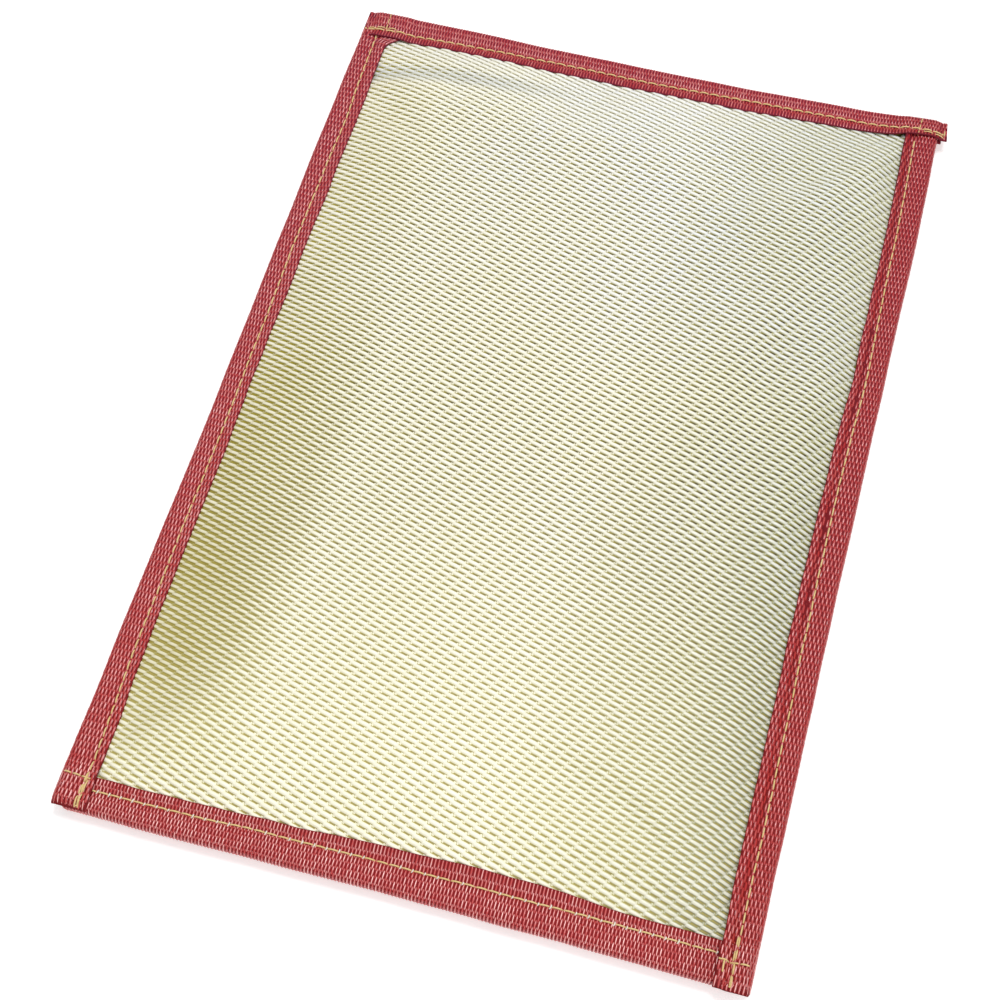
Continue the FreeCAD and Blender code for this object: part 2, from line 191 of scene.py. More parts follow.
def fibre_noise(tree, scale, detail=3.0, turn=0.0):
    """Noise on object coordinates, stretched by a scale for each axis."""
    place = add(tree, "ShaderNodeTexCoord").outputs["Object"]
    turned = add(tree, "ShaderNodeMapping",
                 {"Vector": place, "Rotation": (0, 0, turn), "Scale": scale})
    node = add(tree, "ShaderNodeTexNoise",
               {"Vector": turned.outputs[0], "Scale": 1.0, "Detail": detail})
    return node.outputs["Fac"]


def object_xy(tree):
    """The object coordinates X and Y, in metres."""
    place = add(tree, "ShaderNodeTexCoord").outputs["Object"]
    parts = add(tree, "ShaderNodeSeparateXYZ", {0: place})
    return parts.outputs["X"], parts.outputs["Y"]


def attribute(tree, name):
    """A number that the mesh carries at each point."""
    return add(tree, "ShaderNodeAttribute", attribute_name=name).outputs["Fac"]


def raise_fibres(tree, shader, height, strength, depth):
    """Let a noise raise and lower the surface by up to `depth`."""
    bump = add(tree, "ShaderNodeBump", {"Height": height, "Strength": strength, "Distance": depth})
    tree.links.new(bump.outputs[0], shader.inputs["Normal"])


def new_material(name, colour):
    """An empty material with a shader whose plain values are set by the caller."""
    material = bpy.data.materials.new(name)
    material.use_nodes = True
    material.diffuse_color = colour
    tree = material.node_tree
    return material, tree, tree.nodes["Principled BSDF"]

# %% [markdown]
# ## The yarns' finish
# The weft is a thick, flat bundle of glossy mineral fibre. Each float is nearly white on its crown
# and golden on its flanks, where the fibre is yellower and shade is painted in, lighter on the near
# side where the light falls. Two attributes on the mesh help: `crown` says how high on its float a
# point is, and `tone` lets neighbours differ. Slow fades across the cloth paint in more shade: a
# khaki patch on the lower left slope, which is partly a golden tint, a grey-green cast on the right
# slope, darkest on its steeper part, a cooler, greyer white with a blue reflection at the far right
# and a blue shade along the crease.

# %% Weft yarn material
# The crown colours; the last, cooler stop is reached mostly towards the far right, where it is
# painted shade and blue reflection.
WEFT_CROWN = [(0.05, (0.97, 0.95, 0.80, 1)), (0.5, (0.98, 0.96, 0.85, 1)),
              (0.85, (0.88, 0.91, 0.96, 1))]
CREAM = (0.86, 0.81, 0.58, 1)
# The khaki below is a golden tint with painted shade of the left slope; the grey-green and the blue
# are painted shade on the right slope and in the crease.
KHAKI_TINT_AND_SHADE = (0.54, 0.44, 0.13, 1)
GREY_GREEN_SHADE = (0.42, 0.46, 0.42, 1)
CREASE_SHADE_BLUE = (0.56, 0.61, 0.68, 1)
DRY_STREAK = (0.66, 0.62, 0.42, 1)
# The flank colours are painted shade on the sides of the floats: lightest on the near side, where the
# light falls, darkest on the far side, and golden, grey-green or near black on the left, right and
# steeper right slopes.
FAR_FLANK_SHADE = (0.25, 0.215, 0.020, 1)
NEAR_FLANK_SHADE = (0.60, 0.56, 0.20, 1)
GOLDEN_FLANK_SHADE = (0.33, 0.27, 0.02, 1)
RIGHT_FLANK_SHADE = (0.33, 0.33, 0.13, 1)
STEEP_FLANK_SHADE = (0.14, 0.15, 0.035, 1)
CREASE_Y = 0.129


def weft_painted_shade(tree, x, y):
    """How much painted shade lies on the cloth at a point, each from 0 to about 1."""
    mottled = calculate(tree, "MULTIPLY_ADD", fibre_noise(tree, (36, 36, 36), 4.0), 0.9, 0.2)
    from_middle = calculate(tree, "ABSOLUTE", calculate(tree, "ADD", y, 0.012))
    middle = fade(tree, from_middle, 0.130, 0.085)
    lower = calculate(tree, "MULTIPLY_ADD", fade(tree, y, 0.04, -0.06), 1.1, 0.15)
    # On the lower left slope: painted shade, which is also a golden tint of the cloth.
    golden = times(tree, fade(tree, x, -0.050, -0.082), middle, mottled, lower)
    # Over the right slope: painted grey-green shade.
    right_slope_shade = times(tree, fade(tree, x, 0.020, 0.088), mottled)
    # Along the crease on the far left: painted blue shade.
    crease = calculate(tree, "SUBTRACT", calculate(tree, "MULTIPLY_ADD", x, -0.06, y), CREASE_Y)
    crease = fade(tree, calculate(tree, "ABSOLUTE", crease), 0.005, 0.0012)
    crease_shade = times(tree, crease, fade(tree, x, -0.015, -0.045), 0.55)
    return golden, right_slope_shade, crease_shade


def weft_top(tree, x, y, streaks, golden, right_slope_shade, crease_shade):
    """The colour on a float's crown, with painted shade laid over it."""
    # Towards the far right the crown turns a cooler, greyer white: painted shade and blue reflection
    # of the far side, over random mottling.
    slope = calculate(tree, "MULTIPLY_ADD", y, 2.6, calculate(tree, "MULTIPLY", x, 2.0))
    cool_far_shade = calculate(tree, "MULTIPLY_ADD", fibre_noise(tree, (14, 14, 14), 4.0), 0.9, slope)
    top = ramp(tree, cool_far_shade, WEFT_CROWN)
    top = blend_colours(tree, times(tree, attribute(tree, "tone"), 0.30), top, CREAM)
    # Painted shade: khaki on the left slope, where it is also a golden tint, grey-green on the right
    # slope and blue in the crease.
    top = blend_colours(tree, times(tree, golden, 0.22), top, KHAKI_TINT_AND_SHADE)
    top = blend_colours(tree, times(tree, right_slope_shade, 0.34), top, GREY_GREEN_SHADE)
    top = blend_colours(tree, crease_shade, top, CREASE_SHADE_BLUE)
    return blend_colours(tree, times(tree, streaks, 0.25), top, DRY_STREAK)


def weft_material():
    """Glossy yarn: white crowns that turn golden down the flanks, where shade is painted in."""
    material, tree, shader = new_material("glossy_weft_yarn", (0.93, 0.90, 0.76, 1))
    x, y = object_xy(tree)
    streaks = fibre_noise(tree, (260, 4200, 4200), 2.0)
    golden, right_slope_shade, crease_shade = weft_painted_shade(tree, x, y)
    top = weft_top(tree, x, y, streaks, golden, right_slope_shade, crease_shade)
    aside = calculate(tree, "ABSOLUTE", x)
    # Painted light and shade on the flanks: lighter on the near side, where the light falls, and
    # darker on the slopes.
    near = fade(tree, calculate(tree, "MULTIPLY_ADD", aside, 0.5, y), -0.02, -0.11)
    steep_shade = times(tree, fade(tree, x, 0.064, 0.090), fade(tree, y, 0.060, -0.030))
    flank = blend_colours(tree, near, FAR_FLANK_SHADE, NEAR_FLANK_SHADE)
    flank = blend_colours(tree, golden, flank, GOLDEN_FLANK_SHADE)
    flank = blend_colours(tree, right_slope_shade, flank, RIGHT_FLANK_SHADE)
    flank = blend_colours(tree, steep_shade, flank, STEEP_FLANK_SHADE)
    # The crowns narrow on the slopes, so more of the painted flank shade shows there.
    narrowing = calculate(tree, "MULTIPLY_ADD", near, -0.30, 0.62)
    for place, amount in ((golden, 3.6), (right_slope_shade, 1.5), (steep_shade, 0.5)):
        narrowing = calculate(tree, "MULTIPLY_ADD", place, amount, narrowing)
    height = calculate(tree, "POWER", attribute(tree, "crown"), narrowing)
    tree.links.new(blend_colours(tree, height, flank, top), shader.inputs["Base Color"])
    raise_fibres(tree, shader, streaks, 0.35, 0.2 * MM)
    shine = calculate(tree, "MULTIPLY_ADD", streaks, 0.25, 0.26)
    tree.links.new(shine, shader.inputs["Roughness"])
    shader.inputs["Specular IOR Level"].default_value = 0.7
    return material


WEFT = weft_material()

# %% [markdown]
# ## The ground under the floats
# Between the floats one looks down on the warp: golden yarns with painted shadow, darkest at one end
# of each gap and brass-coloured at the other. The pattern repeats with the weave, so the material
# works out where a point lies in its repeat from the cloth's own UV map, which holds flat cloth
# lengths in metres. The two steps below are the whole weave: from one float to the next along its
# yarn, and from one row to the next.

# %% Weave repeat and warp material
WEFT_STEP = Vector((4.19, 0.50)) * MM
ROW_STEP = Vector((1.11, 1.60)) * MM
# From brass-coloured yarn into painted shadow.
WARP_GOLD_AND_SHADOW = [(0.0, (0.36, 0.30, 0.02, 1)), (0.45, (0.18, 0.15, 0.008, 1)),
               (0.85, (0.035, 0.022, 0.002, 1))]
GOLDEN_GROUND = (0.42, 0.34, 0.02, 1)
NEAR_LIT_GROUND = (0.46, 0.38, 0.13, 1)


def repeats_along_weft(tree):
    """How far along the weft step a point is, in repeats."""
    flat = add(tree, "ShaderNodeUVMap", uv_map="flat_cloth").outputs["UV"]
    area = WEFT_STEP.x * ROW_STEP.y - WEFT_STEP.y * ROW_STEP.x
    along = (ROW_STEP.y / area, -ROW_STEP.x / area, 0.0)
    dot = add(tree, "ShaderNodeVectorMath", {0: flat, 1: along}, operation="DOT_PRODUCT")
    return dot.outputs["Value"]


def warp_material():
    """Golden yarn with painted shadow in the gaps, more golden at the left and painted paler at the
    near side, where the light falls.
    """
    material, tree, shader = new_material("golden_warp_ground", (0.62, 0.50, 0.20, 1))
    phase = calculate(tree, "FRACT", calculate(tree, "ADD", repeats_along_weft(tree), 0.5))
    grain = fibre_noise(tree, (900, 900, 900), 3.0)
    mottled = calculate(tree, "MULTIPLY_ADD", grain, 0.5, calculate(tree, "SUBTRACT", phase, 0.25))
    ground = ramp(tree, mottled, WARP_GOLD_AND_SHADOW)
    x, y = object_xy(tree)
    golden = times(tree, fade(tree, x, -0.056, -0.092), fibre_noise(tree, (30, 30, 30), 3.0))
    ground = blend_colours(tree, golden, ground, GOLDEN_GROUND)
    # Painted light: the ground is paler on the near side, where the light falls.
    near = times(tree, fade(tree, y, 0.0, -0.12), 0.7)
    ground = blend_colours(tree, near, ground, NEAR_LIT_GROUND)
    tree.links.new(ground, shader.inputs["Base Color"])
    raise_fibres(tree, shader, fibre_noise(tree, (950, 300, 300), 2.0), 0.5, 0.3 * MM)
    shader.inputs["Roughness"].default_value = 0.55
    shader.inputs["Specular IOR Level"].default_value = 0.4
    return material


WARP = warp_material()

# %% [markdown]
# ## The pad's puffed shape
# The two faces start as grids that follow the seams and rise over the felt. The right side is steep,
# where the felt comes close to the tape, and the left side slopes gently. The grids are joined round
# the edge into one closed bag.

# %% Start shape of the pad
CELLS_X, CELLS_Y = 64, 98
RIM_GAP = 0.75 * MM
TOP_ROOM = 1.25 * MM
FOOT_ROOM = 0.85 * MM
CREASE_DEPTH = 1.3 * MM
CREASE_WIDTH = 3.2 * MM
CREASE_INSET = 21 * MM
CREASE_LENGTH = 45 * MM
TAPE_REACH = {"left": 8.0 * MM, "right": 8.6 * MM, "far": 8.2 * MM, "near": 10.6 * MM}
SLOPE_RUN = {"left": 27 * MM, "right": 15 * MM, "far": 26 * MM, "near": 20 * MM}


def fullness(x, y):
    """How far up the slopes a point of the cloth is: 0 at the tape, 1 on the flat middle."""
    gaps = {"left": HALF_X + x, "right": HALF_X - x, "far": HALF_Y - y, "near": HALF_Y + y}
    full = 1.0
    for side, gap in gaps.items():
        along = y if side in ("left", "right") else x
        run = SLOPE_RUN[side] * (1.0 + 0.22 * wander(along, 0.0, 0.035, len(side)))
        part = min(max((gap - TAPE_REACH[side]) / run, 0.0), 1.0)
        full *= math.sin(part * math.pi / 2) ** 0.9
    return full


def face_height(x, y, upper):
    """The height of the upper or lower face before it is blown up."""
    full = fullness(x, y)
    if upper:
        swell = 0.45 * MM * wander(x, y, 0.045, 3)
        off_crease = (HALF_Y - y + 0.06 * x - CREASE_INSET) / CREASE_WIDTH
        crease = CREASE_DEPTH * math.exp(-off_crease ** 2) * smooth_step(-x / CREASE_LENGTH)
        return SEAM_Z + RIM_GAP + (PAD_TOP - SEAM_Z - TOP_ROOM + swell) * full - crease
    return SEAM_Z - RIM_GAP - (SEAM_Z - FOOT_ROOM) * full ** 0.6


def start_bag():
    """Two grids, shaped and joined round their edges."""
    bm = bmesh.new()
    grids = []
    for upper in (True, False):
        made = bmesh.ops.create_grid(bm, x_segments=CELLS_X, y_segments=CELLS_Y, size=1.0)["verts"]
        for vert in made:
            x, y = vert.co.x * HALF_CLOTH_X, vert.co.y * HALF_CLOTH_Y
            vert.co = (x, y, face_height(x, y, upper))
        grids.append(made)
    rims = [edge for edge in bm.edges if edge.is_boundary]
    bmesh.ops.bridge_loops(bm, edges=rims)
    bmesh.ops.recalc_face_normals(bm, faces=bm.faces)
    return bm, len(grids[0])

# %% [markdown]
# The bag is held where it is sewn and blown up a little with Blender's cloth simulation, which gives
# the soft corners and small puckers that a formula doesn't. A cap on how far each point may move
# keeps the middle flat, as the felt does.

# %% Blow the bag up
CLOTH_SETTINGS = {
    "quality": 6, "mass": 0.3, "tension_stiffness": 12, "compression_stiffness": 12,
    "bending_stiffness": 0.4, "use_pressure": True, "uniform_pressure_force": 4.0,
}
SIMULATED_FRAMES = 20
MOST_TRAVEL = 1.1 * MM


def simulated(bag, start):
    """Where the bag's points end when it is blown up, with its sewn rim held."""
    sewn = bag.vertex_groups.new(name="sewn")
    held = [index for index, place in enumerate(start) if fullness(place.x, place.y) < 0.02]
    sewn.add(held, 1.0, "REPLACE")
    cloth = bag.modifiers.new("cloth", "CLOTH")
    for setting, amount in CLOTH_SETTINGS.items():
        setattr(cloth.settings, setting, amount)
    cloth.settings.effector_weights.gravity = 0
    cloth.settings.vertex_group_mass = "sewn"
    for step in range(1, SIMULATED_FRAMES + 1):
        scene.frame_set(step)
    graph = bpy.context.evaluated_depsgraph_get()
    shaped = [vert.co.copy() for vert in bag.evaluated_get(graph).data.vertices]
    scene.frame_set(1)
    return shaped


def puffed_bag():
    """The bag's points once it is blown up, and how many of them are the upper face's."""
    bm, count = start_bag()
    bag = to_object(bm, "pad_bag", WARP, rides=False)
    start = [vert.co.copy() for vert in bag.data.vertices]
    shaped = simulated(bag, start)
    bpy.data.objects.remove(bag)
    moves = [after - before for before, after in zip(start, shaped)]
    lengths = [move.length / MM for move in moves]
    print("cloth travel, mm: largest", round(max(lengths), 2),
          "mean", round(sum(lengths) / len(lengths), 2))
    for before, after, move in zip(start, shaped, moves):
        if move.length > MOST_TRAVEL:
            after[:] = before + move * (MOST_TRAVEL / move.length)
    return shaped, count


BAG_POINTS, FACE_COUNT = puffed_bag()

# %% [markdown]
# ## The two cloth faces
# Each face is cut from the bag again as a sheet of its own. Its UV map keeps the flat position of
# every point, so the weave follows the cloth up the slopes. One subdivision rounds the grid, and a
# Solidify modifier gives it thickness on its inner side.

# %% Cloth faces
LOWEST_CLOTH = 0.75 * MM
CLOTH_SKIN = 0.6 * MM


def cloth_face(name, points, upper):
    """One face as a sheet with flat coordinates, and its surface for things laid on it."""
    bm = bmesh.new()
    made = bmesh.ops.create_grid(bm, x_segments=CELLS_X, y_segments=CELLS_Y, size=1.0)["verts"]
    flat = [Vector((vert.co.x * HALF_CLOTH_X, vert.co.y * HALF_CLOTH_Y)) for vert in made]
    bm.verts.index_update()
    uv = bm.loops.layers.uv.new("flat_cloth")
    for face in bm.faces:
        for loop in face.loops:
            loop[uv].uv = flat[loop.vert.index]
    for vert, point in zip(made, points):
        vert.co = point
        if not upper:
            vert.co.z = max(point.z, LOWEST_CLOTH)
    if not upper:
        bmesh.ops.reverse_faces(bm, faces=bm.faces)
    piece = to_object(bm, name, WARP)
    rounded = piece.modifiers.new("rounded", "SUBSURF")
    rounded.levels = rounded.render_levels = 1
    applied(piece)
    surface = bmesh.new()
    surface.from_mesh(piece.data)
    tree = BVHTree.FromBMesh(surface)
    surface.free()
    thick = piece.modifiers.new("thickness", "SOLIDIFY")
    thick.thickness = CLOTH_SKIN
    thick.offset = -1.0
    applied(piece)
    return piece, tree


front_cloth, FRONT = cloth_face("front_cover_cloth", BAG_POINTS[:FACE_COUNT], True)
back_cloth, BACK = cloth_face("back_cover_cloth", BAG_POINTS[FACE_COUNT:], False)
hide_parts("front_cover")
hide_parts("back_cover")
print("front cloth:", len(front_cloth.data.polygons), "faces")


def on_surface(tree, x, y, upper):
    """The point of a surface over or under (x, y), and its outward direction."""
    start, direction = ((x, y, 0.1), (0, 0, -1)) if upper else ((x, y, -0.1), (0, 0, 1))
    place, normal, _, _ = tree.ray_cast(start, direction)
    if place is None:
        place, normal, _, _ = tree.find_nearest((x, y, SEAM_Z))
    return place, normal

# %% [markdown]
# ## The weft floats
# What one sees of this cloth are the floats: short stretches where a weft yarn passes over three
# warps. They are over eight thousand small cushions in slanting rows, so each has only a few faces.
# One float is made, two Array modifiers repeat it along the weave's two steps, what lies outside
# the cloth is cut away, and then every point is laid on the puffed face. The floats of a face are
# two pieces, a near and a far half, so that neither gets too heavy.

# %% Weft floats
FLOAT_LENGTH, FLOAT_WIDTH, FLOAT_HEIGHT = 4.10 * MM, 1.43 * MM, 0.58 * MM
FLOAT_TURN = math.radians(-13.3)
LATTICE_COUNTS = (109, 213)
HIDDEN_SIDE, HIDDEN_NEAR, HIDDEN_FAR = 8.3 * MM, 9.0 * MM, 8.0 * MM


def spread(part):
    """Push grid lines outwards, so that a coarse grid gets a flat top and steep edges."""
    return part * (1.57 - 0.57 * part * part)


def one_float(length, width, height, along, across, turn=0.0, taper=0.12, sunk=0.75):
    """A small cushion that dives at its ends, with its length along X before it is turned."""
    bm = bmesh.new()
    shade = bm.verts.layers.float.new("crown")
    made = bmesh.ops.create_grid(bm, x_segments=along, y_segments=across, size=1.0)["verts"]
    for vert in made:
        u, v = spread(vert.co.x), spread(vert.co.y)
        narrow = 1.0 - taper * u ** 4
        crown = (1.0 - sunk * u ** 6) * (1.0 - v ** 4)
        vert[shade] = (1.0 - 0.4 * u ** 6) * (1.0 - v ** 4)
        vert.co = (u * length / 2, v * narrow * width / 2, height * (crown - 0.10))
    bmesh.ops.rotate(bm, verts=made, matrix=Matrix.Rotation(turn, 3, "Z"))
    return bm


def repeated(bm, name, material, steps, counts):
    """Repeat the piece along two steps, centred on the origin."""
    piece = to_object(bm, name, material)
    for index, (step, count) in enumerate(zip(steps, counts)):
        array = piece.modifiers.new(f"repeat_{index}", "ARRAY")
        array.use_relative_offset = False
        array.use_constant_offset = True
        array.constant_offset_displace = (step.x, step.y, 0.0)
        array.count = count
    applied(piece)
    corners = [Vector(corner) for corner in piece.bound_box]
    middle = (corners[0] + corners[6]) / 2
    piece.data.transform(Matrix.Translation((-middle.x, -middle.y, 0.0)))
    return piece


def keep_inside(piece, low, high, points_each, seed):
    """Drop the floats outside a rectangle and give each remaining one its tone."""
    bm = bmesh.new()
    bm.from_mesh(piece.data)
    tone = bm.verts.layers.float.new("tone")
    draw = random.Random(seed)
    doomed = []
    bm.verts.ensure_lookup_table()
    for first in range(0, len(bm.verts), points_each):
        group = [bm.verts[index] for index in range(first, first + points_each)]
        shade = draw.random()
        centre = sum((vert.co for vert in group), Vector()) / points_each
        if low.x < centre.x < high.x and low.y <= centre.y < high.y:
            for vert in group:
                vert[tone] = shade
        else:
            doomed += group
    bmesh.ops.delete(bm, geom=doomed, context="VERTS")
    return bm


def woven(name, template, tree, upper, seed, shift=Vector((0, 0)), band=(-HALF_Y, HALF_Y)):
    """One kind of float over one face, or over a band of it between two Y, laid on its surface."""
    points_each = len(template.verts)
    piece = repeated(template, name, WEFT, (WEFT_STEP, ROW_STEP), LATTICE_COUNTS)
    piece.data.transform(Matrix.Translation((shift.x, shift.y, 0.0)))
    low = Vector((-HALF_X + HIDDEN_SIDE, max(-HALF_Y + HIDDEN_NEAR, band[0])))
    high = Vector((HALF_X - HIDDEN_SIDE, min(HALF_Y - HIDDEN_FAR, band[1])))
    bm = keep_inside(piece, low, high, points_each, seed)
    for vert in bm.verts:
        place, normal = on_surface(tree, vert.co.x, vert.co.y, upper)
        vert.co = place + normal * vert.co.z
    if not upper:
        bmesh.ops.reverse_faces(bm, faces=bm.faces)
    for face in bm.faces:
        face.smooth = True
    bm.to_mesh(piece.data)
    bm.free()
    print(name, len(piece.data.polygons), "faces")
    return piece


def weft_floats(name, tree, upper, seed):
    """The near and the far half of one face's weft floats."""
    halves = []
    for half, band in (("near", (-HALF_Y, 0.0)), ("far", (0.0, HALF_Y))):
        template = one_float(FLOAT_LENGTH, FLOAT_WIDTH, FLOAT_HEIGHT, 4, 3, FLOAT_TURN)
        halves.append(woven(f"{name}_{half}", template, tree, upper, seed, band=band))
    return halves


front_floats = weft_floats("front_cover_weft_floats", FRONT, True, 11)
back_floats = weft_floats("back_cover_weft_floats", BACK, False, 12)

# %% [markdown]
# Where one float ends and the next begins, a short bit of yarn crosses from row to row. These
# crossings close part of the gap between the rows, so what stays open is a short dark dash and not
# a long line.

# %% Warp crossings
CROSSING_SIZE = (2.45 * MM, 1.50 * MM, 0.44 * MM)
CROSSING_TURN = math.radians(66)
CROSSING_PLACE = (WEFT_STEP - ROW_STEP) / 2


def warp_crossings(name, tree, upper, seed):
    """The warp yarns' short crossings on one face."""
    template = one_float(*CROSSING_SIZE, 2, 2, CROSSING_TURN, 0.3, 0.95)
    return woven(name, template, tree, upper, seed, CROSSING_PLACE)


front_crossings = warp_crossings("front_cover_warp_crossings", FRONT, True, 13)
back_crossings = warp_crossings("back_cover_warp_crossings", BACK, False, 14)

# %% [markdown]
# ## The binding tapes
# Each tape is a flat woven strip 21 to 27 mm wide, folded lengthwise over the pad's edge. It is
# made the same way here: a flat grid is woven first and folded after. One function says where a
# point of the flat strip ends up, so the strip, its yarn floats and its UV map all agree. It also
# puts in what makes tape look sewn rather than moulded: a hollow along the seam, an edge that
# wanders and curls, and a step where the tape climbs over another one. At its cut ends the under
# leg is pulled back a little, so that it doesn't show below the top one.

# %% How a tape folds
TAPE_SKIN = 0.6 * MM
FLAT_HALF = (near_high.z - near_low.z) / 2
RAISED_HALF = (side_high.z - side_low.z) / 2
PINCHED_HALF = 0.8 * MM
UNDER_SHORTER = 0.5 * MM
STEP_LENGTH = 4.5 * MM
UNDER_CUT = 1.6 * MM
FOLD_FLATNESS = 0.72
GROOVE_SHIFT = 0.6
GROOVE_WIDTH = 1.2 * MM
CURL_START, CURL_RUN = 0.5 * MM, 2.2 * MM
TOP_CLEARANCE, UNDER_CLEARANCE = 0.25 * MM, 0.05 * MM
CORNER_START = 133.5 * MM
CORNER_RADIUS = 5.0 * MM
CORNER_END = CORNER_START + 8.0 * MM


def profile(stations, part):
    """A value that eases from one evenly spaced station to the next."""
    spot = min(max(part, 0.0), 1.0) * (len(stations) - 1)
    first = min(int(spot), len(stations) - 2)
    return stations[first] + (stations[first + 1] - stations[first]) * smooth_step(spot - first)


class Tape:
    """A strip folded over one edge of the pad; u runs along the edge and t across the strip.

    leg, bow and seam are profiles in mm: how wide the top leg lies, how far the fold lies inside
    the pad's straight edge, and how far in from the fold the seam runs. raised lists the places
    where the tape climbs over another one, each with the direction it climbs in. curl and groove
    say how far the inner edge stands up and how deep the seam pulls in, and slant turns the cut end.
    """

    def __init__(self, node, along, side, leg, bow, seam, raised, curl, groove, seed, slant=0.0):
        low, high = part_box(node)
        self.along, self.side = along, side
        self.start, self.end = (low.x, high.x) if along == "x" else (low.y, high.y)
        self.edge = HALF_Y if along == "x" else HALF_X
        self.flat_leg = high.y - low.y if along == "x" else high.x - low.x
        self.leg, self.bow, self.seam = leg, bow, seam
        self.raised, self.curl, self.groove, self.seed = raised, curl, groove, seed
        self.slant = slant
        overhang = max(self.end, -self.start) - (HALF_X if along == "x" else HALF_Y)
        self.pinch_run = 2.2 * MM + overhang
        self.width = 2 * (self.flat_leg - FLAT_HALF) + math.pi * FLAT_HALF

    def at(self, stations, u):
        """A profile's value at u, in metres."""
        return profile(stations, (u - self.start) / (self.end - self.start)) * MM

    def half_height(self, u):
        """Half the folded tape's height: more where it lies over another tape, less at a cut end."""
        climbs = (smooth_step((edge - u * way) / STEP_LENGTH) for edge, way in self.raised)
        climb = max(climbs, default=0)
        end_gap = min(u - self.start, self.end - u)
        pinch = 1.0 - smooth_step(end_gap / self.pinch_run)
        return FLAT_HALF + climb * (RAISED_HALF - FLAT_HALF - (RAISED_HALF - PINCHED_HALF) * pinch)

    def seam_inset(self, u):
        """How far in from the fold the seam runs."""
        return self.at(self.seam, u) + 0.15 * MM * wander(u, 0.0, 0.02, self.seed + 0.5)

    def fold_inset(self, u):
        """How far the fold lies inside the pad's straight edge."""
        return self.at(self.bow, u) + 0.22 * MM * wander(u, 0.0, 0.018, self.seed)

    def top_leg(self, u):
        """How wide the top leg lies; the left one rounds off the cloth's far corner."""
        wide = self.at(self.leg, u) + 0.35 * MM * wander(u, 0.0, 0.013, self.seed + 3)
        if self.side == -1 and self.along == "y" and u > CORNER_START:
            past = min((u - CORNER_START) / CORNER_RADIUS, 1.0)
            rounding = CORNER_RADIUS * (1.0 - math.sqrt(1.0 - past * past))
            wide += rounding * smooth_step((CORNER_END - u) / (CORNER_RADIUS / 2))
        return wide

    def plan(self, u, inset):
        """X and Y of a point that far along the edge and that far in from the fold."""
        out = self.side * (self.edge - inset - self.fold_inset(u))
        return (u, out) if self.along == "x" else (out, u)

    def place(self, u, t, lift=0.0):
        """Where a point of the flat strip is once the tape is folded and sewn."""
        radius = self.half_height(u)
        reach = FOLD_FLATNESS * radius
        arc = math.pi * math.sqrt((radius * radius + reach * reach) / 2)
        straight = self.flat_leg - reach
        turn = (t - straight) / arc * math.pi
        below = smooth_step(turn / math.pi)
        inwards = 1.0 if u < (self.start + self.end) / 2 else -1.0
        end_gap = min(u - self.start, self.end - u)
        u += inwards * below * UNDER_CUT * max(1.0 - end_gap / (3 * STEP_LENGTH), 0.0)
        if turn < 0.0:
            inset = reach + (self.top_leg(u) - reach) * (1.0 - t / straight)
            height = radius + lift
        elif turn < math.pi:
            across, up = radius * math.sin(turn), reach * math.cos(turn)
            slant = math.hypot(across, up)
            inset = reach * (1.0 - math.sin(turn)) - lift * across / slant
            height = radius * math.cos(turn) + lift * up / slant
        else:
            under = min(self.flat_leg, self.top_leg(u)) - UNDER_SHORTER
            inset = reach + (under - reach) * (t - straight - arc) / (self.width - straight - arc)
            height = -radius - lift
        upper = 1.0 if turn < math.pi / 2 else -1.0
        seam = self.seam_inset(u)
        hollow = seam + GROOVE_SHIFT * self.groove
        height -= upper * self.groove * math.exp(-((inset - hollow) / GROOVE_WIDTH) ** 2)
        if turn < 0.0:
            rise = smooth_step((inset - seam - CURL_START) / CURL_RUN)
            height += self.curl * rise * (1.0 + 0.4 * wander(u, 0.0, 0.02, self.seed + 5))
        near_end = max(1.0 - (self.end - u) / (2 * STEP_LENGTH), 0.0)
        x, y = self.plan(u + self.slant * near_end * (inset - self.flat_leg / 2), inset)
        z = SEAM_Z + height
        if turn < 0.0:
            cloth_z = on_surface(FRONT, x, y, True)[0].z
            z = max(z, cloth_z + TAPE_SKIN + TOP_CLEARANCE + lift)
        elif turn > math.pi:
            cloth_z = on_surface(BACK, x, y, False)[0].z
            z = min(z, cloth_z - TAPE_SKIN - UNDER_CLEARANCE - lift)
        return Vector((x, y, z))


JOGGLE_Y = 134.5 * MM
JOGGLE_LEFT, JOGGLE_RIGHT = 82.0 * MM, 85.5 * MM
TAPES = {
    "near": Tape("binding_tape_near", "x", -1, (10.0, 10.7, 11.0, 12.0, 13.0, 11.7, 11.9),
                 (0.0, -0.2, 0.2, 0.5, 0.3, 0.1, -0.2), (6.4, 6.9, 7.5, 7.6, 7.9, 8.2, 8.4),
                 (), 0.25 * MM, 0.40 * MM, 1),
    "left": Tape("binding_tape_left", "y", -1, (10.8, 9.9, 9.8, 9.4, 10.0, 10.5, 9.6),
                 (0.0, 0.0, 0.3, 0.4, 0.0, -0.3, 0.0), (8.2, 6.8, 6.3, 6.2, 5.9, 6.5, 5.4),
                 ((-JOGGLE_Y, 1),), 0.25 * MM, 0.40 * MM, 2),
    "right": Tape("binding_tape_right", "y", 1, (9.9, 10.5, 10.7, 10.7, 9.7, 10.0, 10.2),
                  (-0.7, -0.4, -0.3, -0.4, -0.4, -0.6, 0.0), (5.6, 5.6, 6.1, 6.5, 5.6, 6.6, 7.2),
                  ((-JOGGLE_Y, 1),), 1.15 * MM, 1.35 * MM, 4),
    "far": Tape("binding_tape_far", "x", 1, (11.4, 11.2, 10.8, 10.6, 10.3, 9.8, 7.8),
                (0.0, 0.1, 0.9, 1.3, 1.4, 0.8, -0.8), (8.8, 7.6, 6.6, 6.7, 5.9, 6.0, 5.8),
                ((-JOGGLE_LEFT, 1), (-JOGGLE_RIGHT, -1)), 0.35 * MM, 0.40 * MM, 6, 0.13),
}

